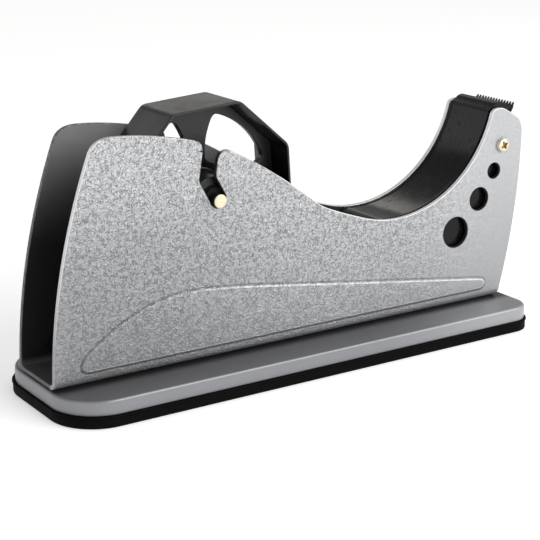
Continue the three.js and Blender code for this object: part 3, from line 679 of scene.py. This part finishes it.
def buildFrame(d=frameDims):
    # the channel laid out flat, x along it and s across its bent section, then folded up:
    # s runs over the floor, round each bend on the middle radius and straight up each plate
    half = d["sheet"] / 2
    bend = d["bendInside"] + half
    flatHalf = d["half"] - d["bendInside"] - d["sheet"]
    crease = flatHalf + bend * math.pi / 2
    creaseZ = d["floor"] + d["sheet"] + d["bendInside"]
    plate = plateOutline()
    leaf = leafOutline()
    slotLine = np.array([d["slotSeat"], d["slotKnee"], d["slotMouth"], d["slotKnee"]])

    def fold(x, s, w):
        side, t = np.where(s < 0, -1.0, 1.0), np.abs(s)
        a = np.clip((t - flatHalf) / bend, 0, math.pi / 2)
        up = np.maximum(t - crease, 0)
        y = np.minimum(t, flatHalf) + (bend + w) * np.sin(a)
        z = creaseZ - (bend + w) * np.cos(a) + up
        flatXz = np.c_[x, creaseZ + up]
        inLeaf = np.where(insideOf(flatXz, leaf), 1.0, -1.0) * distanceTo(flatXz, leaf)
        k = np.clip((inLeaf + 0.4) / 1.5, 0, 1)
        swell = d["emboss"] * k * k * (3 - 2 * k)
        return np.stack([x, side * (y + np.where(t > crease, swell, 0)), z], -1)

    sUp = crease + plate[:, 1] - creaseZ
    stepS = np.unique(np.r_[np.linspace(-flatHalf, flatHalf, 9), np.linspace(flatHalf, crease, 9),
                            -np.linspace(flatHalf, crease, 9)])
    frontX = 213.56 - 0.76 * np.clip((crease - np.abs(stepS)) / (crease - flatHalf), 0, 1)
    outline = chain(np.c_[plate[:, 0], -sUp], np.c_[frontX, stepS][1:-1],
                    np.c_[plate[:, 0], sUp][::-1], np.c_[np.full(len(stepS), d["rear"]), stepS[::-1]][1:-1])
    holes, lines = [], []
    for side in (-1, 1):
        for x, z, r in d["holes"]:
            ring = arc((x, z), r, 0, 360, 73)[:-1]
            holes.append(np.c_[ring[:, 0], side * (crease + ring[:, 1] - creaseZ)])
        for inset in (-0.45, -0.22, 0.0, 0.22, 0.45, 0.68, 0.9, 1.15):
            ring = leaf + inwards(leaf) * inset
            ring = np.concatenate([ring, ring[:1]])
            lines.append(np.c_[ring[:, 0], side * (crease + ring[:, 1] - creaseZ)])
    for s in stepS:
        x = np.arange(4.0, 212.0, 3.0)
        lines.append(np.c_[x, np.full(len(x), s)])
    gx, gz = np.meshgrid(np.arange(6, 222, 5.0), np.arange(18, 100, 5.0))
    grid = np.c_[gx.ravel(), crease + gz.ravel() - creaseZ]
    grid = grid[distanceTo(np.c_[grid[:, 0], grid[:, 1] - crease + creaseZ], leaf) > 2.5]
    spots = np.concatenate([grid, grid * (1, -1)])
    parts = sheetShell(outline, holes, fold, half, d["edgeRound"], lines=lines, spots=spots, steps=4)
    # marks for the paint: a painted highlight on the cut edges, the inner face, painted shade on the slot
    # and hole walls and the far rear edge, and painted shade at the foot and a painted highlight on the
    # crest of the leaf
    marks = {"rim": [], "inside": [], "shade": [], "leafFootShade": [], "leafCrestHighlight": []}
    near = lambda gap, at, reach: np.clip(1.25 - np.abs(gap - at) / reach, 0, 1)
    for k, (verts, polys) in enumerate(parts):
        middle = verts[polys].mean(1)
        flat = middle[:, [0, 2]]
        slotGap = distanceTo(flat, slotLine)
        # the walls of the slots and holes get painted shade
        inSlot = (slotGap < d["slotHalf"] + 1.6) & (middle[:, 2] < 95) & (k == 2)
        deep = inSlot | (k > 2)
        # the far plate's cut edge near the rear gets painted shade
        farRear = (middle[:, 1] > -10) & (middle[:, 0] < 66) & (k == 2)
        marks["inside"].append(np.full(len(polys), float(k == 1)))
        # how strong the painted highlight on each cut edge is, weaker along the top edge
        rimHighlightStrength = np.where((middle[:, 0] > 24) & (middle[:, 0] < 100), 0.35, 1.0) * float(k == 2)
        marks["rim"].append(np.where(deep | farRear | (slotGap < 9), 0.0, rimHighlightStrength))
        marks["shade"].append(np.where(deep, 1.0, np.where(farRear, 0.7, 0.0)))
        inLeaf = np.where(insideOf(flat, leaf), 1.0, -1.0) * distanceTo(flat, leaf)
        marks["leafFootShade"].append(near(inLeaf, -0.1, 0.45) * float(k == 0))
        # how strong the painted highlight on the leaf's crest is, weaker towards the rear
        wearAndHighlight = np.clip((middle[:, 0] - 50) / 25, 0.05, 1)
        wearAndHighlight = np.where(middle[:, 2] < 17, 0.8, wearAndHighlight) * float(k == 0)
        marks["leafCrestHighlight"].append(near(inLeaf, 0.9, 0.4) * wearAndHighlight)
    marks = {label: np.concatenate(values) for label, values in marks.items()}
    return makePiece("channelFrame", parts, framePaint, "frame_body", ["channel_frame"],
                     sharp=60, faceMarks=marks)


buildFrame()
print("channel frame built")


hubDims = {"centre": (71.9, 72.5), "turn": 4.05, "apothem": 35.0, "width": 24.0, "corner": 5.0,
           "rim": 1.55, "lip": 1.0, "web": 3.0, "windowOuter": 30.7, "windowInner": 12.8,
           "windowSpan": 70.2, "boss": 8.5, "bossLength": 22.6, "bore": 2.75}


def octagonPath(apothem, corner, straight=6, steps=9):
    # eight sides, each corner an arc; the same number of points for every size
    middles = 22.5 + 45 * np.arange(8)
    reach = (apothem - corner) / math.cos(math.pi / 8)
    parts = []
    for middle in middles:
        here = reach * np.array([math.cos(math.radians(middle)), math.sin(math.radians(middle))])
        there = reach * np.array([math.cos(math.radians(middle + 45)), math.sin(math.radians(middle + 45))])
        turning = arc(here, corner, middle - 22.5, middle + 22.5, steps)
        following = arc(there, corner, middle + 22.5, middle + 22.5, 1)[0]
        parts.append(turning)
        parts.append(np.linspace(turning[-1], following, straight + 2)[1:-1])
    return np.concatenate(parts)


def hubWindow(d=hubDims):
    # one web opening: waisted spokes on either side, an arc about the axis outside and another inside
    span = d["windowSpan"]
    rest = 90 - span
    outerArc = arc((0, 0), d["windowOuter"], span, rest, 34)
    innerArc = arc((0, 0), d["windowInner"], rest, span, 16)
    return openLoop(chain(bezier((3.7, 13.6), (3.7, 20.5), (7.2, 27.0), 16),
                          bezier((7.2, 27.0), (8.5, 29.6), outerArc[0], 9), outerArc,
                          bezier(outerArc[-1], (29.6, 8.5), (27.0, 7.2), 9),
                          bezier((27.0, 7.2), (20.5, 3.7), (13.6, 3.7), 16),
                          bezier((13.6, 3.7), (12.6, 3.7), innerArc[0], 5), innerArc,
                          bezier(innerArc[-1], (3.7, 12.6), (3.7, 13.6), 5)))


def buildHub(d=hubDims):
    # rim: a drafted wall, thin at its edges and thicker at the web, carried round the octagon
    w, a = d["width"] / 2, d["apothem"]
    round0 = 0.4
    ease = np.radians(np.linspace(0, 90, 5))
    corner = np.stack([a - round0 * (1 - np.cos(ease)), w - round0 * (1 - np.sin(ease))], -1)
    outside = np.concatenate([corner[::-1] * (1, -1), corner])
    lipIn, webIn = a - d["lip"], a - d["rim"]
    inside = np.array([(lipIn + 0.2, w), (lipIn + 0.05, w - 0.06), (lipIn, w - 0.25), (webIn + 0.1, 3.2),
                       (webIn - 0.15, 2.2), (webIn - 0.5, 1.2), (webIn - 0.5, -1.2), (webIn - 0.15, -2.2),
                       (webIn + 0.1, -3.2), (lipIn, 0.25 - w), (lipIn + 0.05, 0.06 - w), (lipIn + 0.2, -w)])
    section = np.concatenate([outside, inside])
    rows = []
    for reach, y in section:
        ring = octagonPath(reach, max(d["corner"] - (a - reach), 2.0))
        rows.append(np.c_[ring[:, 0], np.full(len(ring), y), ring[:, 1]])
    parts = [(np.concatenate(rows), quadGrid(len(rows), len(rows[0]), wrapRows=True, wrapCols=True))]
    window = hubWindow()
    quarterTurn = np.array([[0, 1], [-1, 0]])
    windows = [window @ np.linalg.matrix_power(quarterTurn, k) for k in range(4)]
    flat = lambda x, z, y: np.stack([x, y, z], -1)
    bossHole = arc((0, 0), (d["bore"] + d["boss"]) / 2, 0, 360, 49)[:-1]
    parts += sheetShell(octagonPath(a - d["lip"] - 0.2, 3.4), windows + [bossHole], flat, d["web"] / 2, 0.4)
    end, r0, r1 = d["bossLength"] / 2, d["bore"], d["boss"]
    upper = [(r1 + 2.2, 1.2), (r1 + 1.2, 1.7), (r1 + 0.5, 2.4), (r1 + 0.15, 3.4), (r1, end - 0.5),
             (r1 - 0.12, end - 0.15), (r1 - 0.5, end), (r0 + 0.4, end), (r0, end - 0.4)]
    tube = upper + [(r, -y) for r, y in upper[::-1]]
    parts.append(lathe(tube, (0, 0), 96))
    t = math.radians(d["turn"])
    turned = []
    for verts, polys in parts:
        x = verts[:, 0] * math.cos(t) - verts[:, 2] * math.sin(t) + d["centre"][0]
        z = verts[:, 0] * math.sin(t) + verts[:, 2] * math.cos(t) + d["centre"][1]
        turned.append((np.stack([x, verts[:, 1], z], -1), polys))
    return makePiece("coreHub", turned, hubPlastic, "hub_body", ["hub"], sharp=40)


buildHub()
axleDims = {"radius": 2.65, "end": 17.0}
h = axleDims
axleProfile = [(0.0, -h["end"]), (1.2, -h["end"]), (2.25, -h["end"] + 0.03), (2.48, -h["end"] + 0.12),
               (2.6, -h["end"] + 0.26), (h["radius"], -h["end"] + 0.5), (h["radius"], 0.0)]
axleProfile += [(r, -y) for r, y in axleProfile[:-1][::-1]]
axleMesh = lathe(axleProfile, hubDims["centre"], 72)
# the shaft between the two end faces is marked dark
darkShaft = np.abs(axleMesh[0][axleMesh[1]].mean(1)[:, 1]) < h["end"] - 0.4
makePiece("axleRod", [axleMesh], axlePlate, "axle_body", ["axle"], sharp=60,
          faceMarks={"marked": darkShaft.astype(float)})
print("hub and axle built")


guideDims = {"half": 12.2, "lip": 0.9, "lipHeight": 0.25, "surface": 51.4, "lowEnd": 5.1,
             "foldAngle": -13.2, "wall": 2.2, "endPoints": 14, "runPoints": 100, "bladeFoot": (213.9, 82.9),
             "bladeTip": (220.5, 93.9), "bladeThick": 0.8, "bladeWidth": 24.2, "teeth": 14,
             "toothDepth": 2.0, "bossRadius": 4.2, "bossAt": (211.6, 77.3)}
foldIndex = guideDims["endPoints"] + guideDims["runPoints"] - 2        # where the run meets the hood
footPoint, tipPoint = np.array(guideDims["bladeFoot"]), np.array(guideDims["bladeTip"])
bladeUp = (tipPoint - footPoint) / np.linalg.norm(tipPoint - footPoint)
bladeOut = np.array([bladeUp[1], -bladeUp[0]])


def onSeat(v):
    # a point of the face that the blade lies on, v up it from the blade's foot
    return footPoint + bladeUp * v - bladeOut * (guideDims["bladeThick"] / 2 + 0.03)


def guideTop(d=guideDims):
    # the line that the tape runs over: rolled low end, arc, fold, hood and down to the blade's seat
    reach = d["surface"] - d["lipHeight"]
    cx, cz = frameDims["dipCentre"]
    start = math.degrees(math.atan2(-math.sqrt(reach ** 2 - d["lowEnd"] ** 2), -d["lowEnd"]))
    run = arc((cx, cz), reach, start, d["foldAngle"], d["runPoints"])
    return chain(bezier((146.2, 47.5), (146.4, 52.0), run[0], d["endPoints"]), run,
                 bezier(run[-1], (206.9, 92.75), (208.5, 93.7), 8),
                 bezier((208.5, 93.7), (210.1, 95.1), (211.9, 94.9), 10),
                 bezier((211.9, 94.9), (213.8, 94.6), (215.6, 93.5), 10),
                 line((215.6, 93.5), onSeat(10.6), 0.6))


def guideBottom():
    # from the blade's seat down the front of the moulding and back to the low end
    return chain(line(onSeat(10.6), onSeat(-0.8)), line(onSeat(-0.8), (216.4, 80.2)),
                 bezier((216.4, 80.2), (218.6, 79.4), (218.9, 76.5), 8),
                 bezier((218.9, 76.5), (218.6, 52), (212.2, 33), 24),
                 line((212.2, 33), (178, 33)), line((178, 33), (146.2, 47.5)))


def runningSkin(d=guideDims):
    # one cross-section, a shallow trough between two rounded lips, carried along the top line;
    # the trough fades out at the rolled low end and at the fold into the hood
    path = guideTop()[:-2]
    along = np.gradient(path, axis=0)
    along /= np.linalg.norm(along, axis=1)[:, None]
    normal = np.stack([-along[:, 1], along[:, 0]], -1)
    travelled = np.r_[0, np.cumsum(np.linalg.norm(np.diff(path, axis=0), axis=1))]
    foldAt = travelled[foldIndex]
    ease = lambda v: np.clip(v, 0, 1) ** 2 * (3 - 2 * np.clip(v, 0, 1))
    trough = d["lipHeight"] * ease((travelled - 4.0) / 3.0) * ease((foldAt + 0.3 - travelled) / 0.8)
    h, r = d["half"], 0.3
    turn = np.radians(np.linspace(0, 90, 5))
    edgeY, edgeH = h - r * (1 - np.cos(turn)), -r * (1 - np.sin(turn))
    step = np.linspace(0, 1, 6)
    slopeY, slopeT = h - d["lip"] + 0.15 - 0.3 * step, ease(step)
    halfY = np.r_[h, edgeY, slopeY]
    halfH = np.r_[-d["wall"], edgeH, np.zeros(6)]
    halfT = np.r_[0, np.zeros(5), slopeT]
    inner = np.linspace(slopeY[-1], 0, 8)[1:]
    y = np.r_[-halfY, -inner, inner[:-1][::-1], halfY[::-1]]
    lift = np.r_[halfH, np.zeros(13), halfH[::-1]]
    depth = np.r_[halfT, np.ones(13), halfT[::-1]]
    under = np.linspace(h, -h, 12)[1:-1]
    y, lift = np.r_[y, under], np.r_[lift, np.full(10, -d["wall"])]
    depth = np.r_[depth, np.zeros(10)]
    height = lift[None] - trough[:, None] * depth[None]
    points = np.stack([path[:, :1] + normal[:, :1] * height, np.broadcast_to(y, height.shape),
                       path[:, 1:] + normal[:, 1:] * height], -1)
    rows, cols = height.shape
    ends = points[[0, -1]].mean(1)
    faces = [quadGrid(rows, cols, wrapCols=True), fan(np.arange(cols), rows * cols, True),
             fan(np.arange((rows - 1) * cols, rows * cols), rows * cols + 1)]
    return np.concatenate([points.reshape(-1, 3), ends]), faces


def buildGuide(d=guideDims):
    # running skin, a wall down each side, the hood block behind the blade, ribs and screw bosses
    across = lambda y0: (lambda x, z, w: np.stack([x, y0 + w, z], -1))
    top, cx, cz = guideTop(), *frameDims["dipCentre"]
    parts = [runningSkin()]
    pulled = openLoop(chain(top, guideBottom()))
    side = pulled + inwards(pulled) * 0.9
    for y in (-1, 1):
        parts += sheetShell(side, [], across(y * (d["half"] - 0.62)), 0.6, 0.3)
    hoodRear, hoodFoot = 207.5, 76.6
    hood = openLoop(chain(top[foldIndex:], guideBottom()[:30],
                          line((218.8, hoodFoot), (hoodRear, hoodFoot)),
                          line((hoodRear, hoodFoot), (hoodRear, 90.5)),
                          line((hoodRear, 90.5), top[foldIndex])))
    parts += sheetShell(hood + inwards(hood) * 0.35, [], across(0), d["half"] - 0.2, 0.5)
    under = d["surface"] + d["wall"] - 0.6
    for x, z in ((199, 62.5), (184, 45.5)):
        rear = max(x - 12, cx + math.sqrt(max(under ** 2 - (cz - z - 2) ** 2, 0)))
        front = min(x + 14.5, 216.0)
        rib = chain(line((rear, z), (front, z), 2.0), line((front, z), (front, z + 2), 1.0),
                    line((front, z + 2), (rear, z + 2), 2.0), line((rear, z + 2), (rear, z), 1.0))
        parts += sheetShell(rib, [], across(0), d["half"] - 1.0, 0.2)
    r = d["bossRadius"]
    for y0, y1 in ((-13.12, -9.0), (9.0, 13.12)):
        boss = [(1.7, y0), (r - 0.2, y0), (r, y0 + 0.2), (r, y1 - 0.2), (r - 0.2, y1), (1.7, y1)]
        parts.append(lathe(boss, d["bossAt"], 40))
    return makePiece("tapeGuide", parts, guidePlastic, "frame_body", ["guide"], sharp=45)


def buildBlade(d=guideDims):
    # a flat strip whose top edge is a row of slim points, leant against the hood
    high = float(np.linalg.norm(tipPoint - footPoint))
    half = d["bladeWidth"] / 2
    pitch = d["bladeWidth"] / d["teeth"]
    u = np.arange(d["teeth"])[:, None] * pitch
    tooth = np.array([(0.0, -1.0), (0.1, -0.93), (0.22, -0.72), (0.44, -0.05), (0.48, 0.0),
                      (0.52, 0.0), (0.56, -0.05), (0.78, -0.72), (0.9, -0.93)])
    toothX = half - (u + tooth[:, 0] * pitch)
    toothZ = high + tooth[:, 1] * d["toothDepth"] + 0 * u
    top = np.stack([toothX, toothZ], -1).reshape(-1, 2)
    outline = openLoop(chain([(half, 0.4), (half, 3.0), (half, 6.0), (half, 9.0)], top,
                             [(-half, high - d["toothDepth"]), (-half, 6.0), (-half, 0.4)],
                             [(-half + 0.4, 0.0), (half - 0.4, 0.0)]))
    lean = lambda a, v, w: np.stack([footPoint[0] + bladeUp[0] * v + bladeOut[0] * w, a,
                                     footPoint[1] + bladeUp[1] * v + bladeOut[1] * w], -1)
    return makePiece("cutterBlade", sheetShell(outline, [], lean, d["bladeThick"] / 2, 0.08, steps=2),
                     bladeSteel, "frame_body", ["blade"], sharp=30)


buildGuide()
buildBlade()
print("guide and blade built")


screwDims = {"side": {"radius": 3.1, "height": 1.9, "shank": 1.5, "depth": 8.4},
             "blade": {"radius": 2.6, "height": 1.5, "shank": 1.25, "depth": 5.4},
             "bolt": {"radius": 3.9, "height": 2.3, "shank": 1.9, "depth": 6.3}}


def screwSurface(d, spin, place, rings=46, sides=144):
    # a pan head: height falls slowly with the square of the radius and steeply with its tenth power,
    # less a cross-shaped recess; below it the rim, the flat underside and the shank close on a pole
    r = np.linspace(0, 1, rings)[1:, None] * d["radius"]
    a = np.linspace(0, 2 * np.pi, sides, endpoint=False)[None]
    x, y = r * np.cos(a), r * np.sin(a)
    k = r / d["radius"]
    top = d["height"] * (1 - 0.1 * k ** 2 - 0.55 * k ** 10) + 0 * a
    cx, cy = x * math.cos(spin) + y * math.sin(spin), -x * math.sin(spin) + y * math.cos(spin)
    arm, slot = d["radius"] * 0.62, d["radius"] * 0.13
    smooth = lambda v: np.clip(v, 0, 1) ** 2 * (3 - 2 * np.clip(v, 0, 1))
    narrow = lambda q: smooth((slot - np.abs(q)) / (slot * 0.5) + 0.5)
    short = lambda p: smooth((arm - np.abs(p)) / (arm * 0.3))
    recess = np.maximum(narrow(cy) * short(cx), narrow(cx) * short(cy))
    middle = smooth((d["radius"] * 0.3 - r) / (d["radius"] * 0.12) + 0.5) + 0 * a
    top = top - d["height"] * 0.55 * np.maximum(recess, middle)
    head = np.stack([x, y, top], -1).reshape(-1, 3)
    lower = [(d["radius"], 0.12), (d["radius"] - 0.12, 0.0), (d["shank"], 0.0),
             (d["shank"], -d["depth"] + 0.4), (d["shank"] - 0.4, -d["depth"])]
    ring = [np.stack([q * np.cos(a[0]), q * np.sin(a[0]), np.full(sides, z)], -1) for q, z in lower]
    rows = rings - 1 + len(lower)
    points = np.concatenate([head] + ring + [np.array([[0, 0, d["height"] * 0.45], [0, 0, -d["depth"]]])])
    faces = [quadGrid(rows, sides, wrapCols=True), fan(np.arange(sides), rows * sides, True),
             fan(np.arange((rows - 1) * sides, rows * sides), rows * sides + 1)]
    # the recess and the middle of the head are marked darker: a darker centre tone, with painted shade in
    # the recess
    low = np.maximum(recess, middle).reshape(-1)
    low = np.r_[low, np.zeros(sides * len(lower)), 1.0, 0.0]
    marks = np.concatenate([low[block].mean(1) for block in faces])
    return place(points), faces, marks


def makeScrew(name, kind, spin, place, finish, node):
    points, faces, marks = screwSurface(screwDims[kind], spin, place)
    makePiece(name, [(points, faces)], finish, "frame_body", [node], sharp=50,
              faceMarks={"marked": marks}, weighted=False)


def standOn(origin, right, up):
    # from a screw's own axes, its head along the third, to the object
    right, up = np.array(right, float), np.array(up, float)
    ahead = np.cross(up, right)
    return lambda p: np.array(origin) + p[:, :1] * right + p[:, 1:2] * ahead + p[:, 2:] * up


for label, sign in (("near", -1), ("far", 1)):
    spot = standOn((211.6, sign * 15.02, 77.3), (1, 0, 0), (0, sign, 0))
    makeScrew(f"sideScrew_{label}", "side", 0.5, spot, screwBrass, f"side_screw_{label}")
lowSide = (bladeOut[0], 0, bladeOut[1])
for k, u in enumerate((-7.0, 7.0)):
    at = footPoint + bladeUp * 4.2 + bladeOut * 0.44
    spot = standOn((at[0], u, at[1]), (0, 1, 0), lowSide)
    node = f"blade_screw_{k + 1}"
    makeScrew(f"bladeScrew_{k + 1}", "blade", 0.2 + k, spot, screwZinc, node)
for k, (x, y) in enumerate(((24, -7.5), (24, 7.5), (196, -7.5), (196, 7.5))):
    spot = standOn((x, y, 12.42), (1, 0, 0), (0, 0, 1))
    node = f"frame_bolt_{k + 1}"
    makeScrew(f"frameBolt_{k + 1}", "bolt", 0.4 + k, spot, screwZinc, node)

# the small hidden pieces keep their CAD shape
cadFinish = {"ballast": castIron, "washer_near": washerNylon, "washer_far": washerNylon,
             "clip_near": clipSteel, "clip_far": clipSteel}
cadFinish.update({f"frame_nut_{k}": screwZinc for k in (1, 2, 3, 4)})
for nodeName, finish in cadFinish.items():
    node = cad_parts[nodeName]
    if node.data.materials:
        node.data.materials[0] = finish
    else:
        node.data.materials.append(finish)
print("fasteners built")


studio = {"floor": (0.93, 0.93, 0.93), "floorGrain": (0.915, 0.915, 0.915), "floorGlow": 0.44,
          "world": 0.34, "azimuth": -33.38, "elevation": 16.71, "aim": (104.88, 0.0, 36.2),
          "distance": 614.06, "focal": 102.657}
softBoxes = {
    "backLeft": {"azimuth": 212, "elevation": 20, "distance": 1.6, "size": (0.8, 0.8), "radiance": 1.05,
                 "tint": (0.97, 0.94, 1.0)},
    "rearStrip": {"azimuth": 293, "elevation": 14, "distance": 1.5, "size": (0.22, 0.7), "radiance": 2.4,
                  "tint": (0.97, 0.96, 1.0)},
    "backRight": {"azimuth": 157, "elevation": 27, "distance": 1.7, "size": (0.7, 0.4), "radiance": 1.35,
                  "tint": (1.0, 0.97, 0.9)},
    "frontKey": {"azimuth": 24, "elevation": 27, "distance": 1.6, "size": (1.5, 1.0), "radiance": 4.1,
                 "tint": (1.0, 1.0, 1.0)},
    "rightFill": {"azimuth": 75, "elevation": 25, "distance": 1.4, "size": (0.6, 0.9), "radiance": 1.5,
                  "tint": (1.0, 1.0, 1.0)}}


def makeFloor():
    # one large sheet a hair under the pad
    size = 6.0
    i = np.linspace(-size, size, 9)
    gx, gy = np.meshgrid(i, i, indexing="ij")
    mesh = bpy.data.meshes.new("studioFloor")
    flat = np.stack([gx, gy, np.full_like(gx, -0.0002)], -1).reshape(-1, 3)
    mesh.from_pydata(flat, [], quadGrid(9, 9)[:, ::-1].tolist())
    material, tree, shader = newMaterial("floorPaper", 0.0, specular=0.1)
    grain = useGroup(tree, grainGroup, Scale=300.0, Coarseness=0.5)
    paper = mixColour(tree, grain.outputs["Mask"], studio["floor"], studio["floorGrain"])
    tree.links.new(paper, shader.inputs["Base Color"])
    shader.inputs["Roughness"].default_value = 0.9
    shader.inputs["Emission Color"].default_value = (1, 1, 1, 1)
    shader.inputs["Emission Strength"].default_value = studio["floorGlow"]
    mesh.materials.append(material)
    floor = bpy.data.objects.new("studioFloor", mesh)
    scene.collection.objects.link(floor)


def direction(place):
    # from the object outwards: azimuth 0 is square to the near side, 90 at the cutter end
    az, el = math.radians(place["azimuth"]), math.radians(place["elevation"])
    return Vector((math.sin(az) * math.cos(el), -math.cos(az) * math.cos(el), math.sin(el)))


def softLight(name, box, aim=(0.0, 0.0, 0.05)):
    # a soft box facing the object
    away = direction(box)
    data = bpy.data.lights.new(name, "AREA")
    data.shape = "RECTANGLE"
    data.size, data.size_y = box["size"]
    data.energy = box["radiance"] * math.pi * data.size * data.size_y
    data.color = box["tint"]
    lamp = bpy.data.objects.new(name, data)
    lamp.location = Vector(aim) + away * box["distance"]
    lamp.rotation_mode = "QUATERNION"
    lamp.rotation_quaternion = away.to_track_quat("Z", "Y")
    scene.collection.objects.link(lamp)


makeFloor()
for boxName, box in softBoxes.items():
    softLight(boxName, box)
world = bpy.data.worlds.new("studioWorld")
scene.world = world
world.use_nodes = True
world.node_tree.nodes["Background"].inputs["Color"].default_value = (1, 1, 1, 1)
world.node_tree.nodes["Background"].inputs["Strength"].default_value = studio["world"]

cameraData = bpy.data.cameras.new("studioCamera")
cameraData.sensor_width = 36.0
cameraData.lens = studio["focal"]
cameraData.clip_start, cameraData.clip_end = 0.05, 50
camera = bpy.data.objects.new("studioCamera", cameraData)
scene.collection.objects.link(camera)
back = direction(studio)
turn = math.radians(studio["azimuth"])
right = Vector((math.cos(turn), math.sin(turn), 0.0))
upward = back.cross(right)
aim = Vector(toMetres([studio["aim"]])[0])
facing = Matrix((right, upward, back)).transposed().to_4x4()
camera.matrix_world = Matrix.Translation(aim + back * studio["distance"] * 0.001) @ facing
scene.camera = camera
scene.view_settings.view_transform = "Standard"
print("studio built")
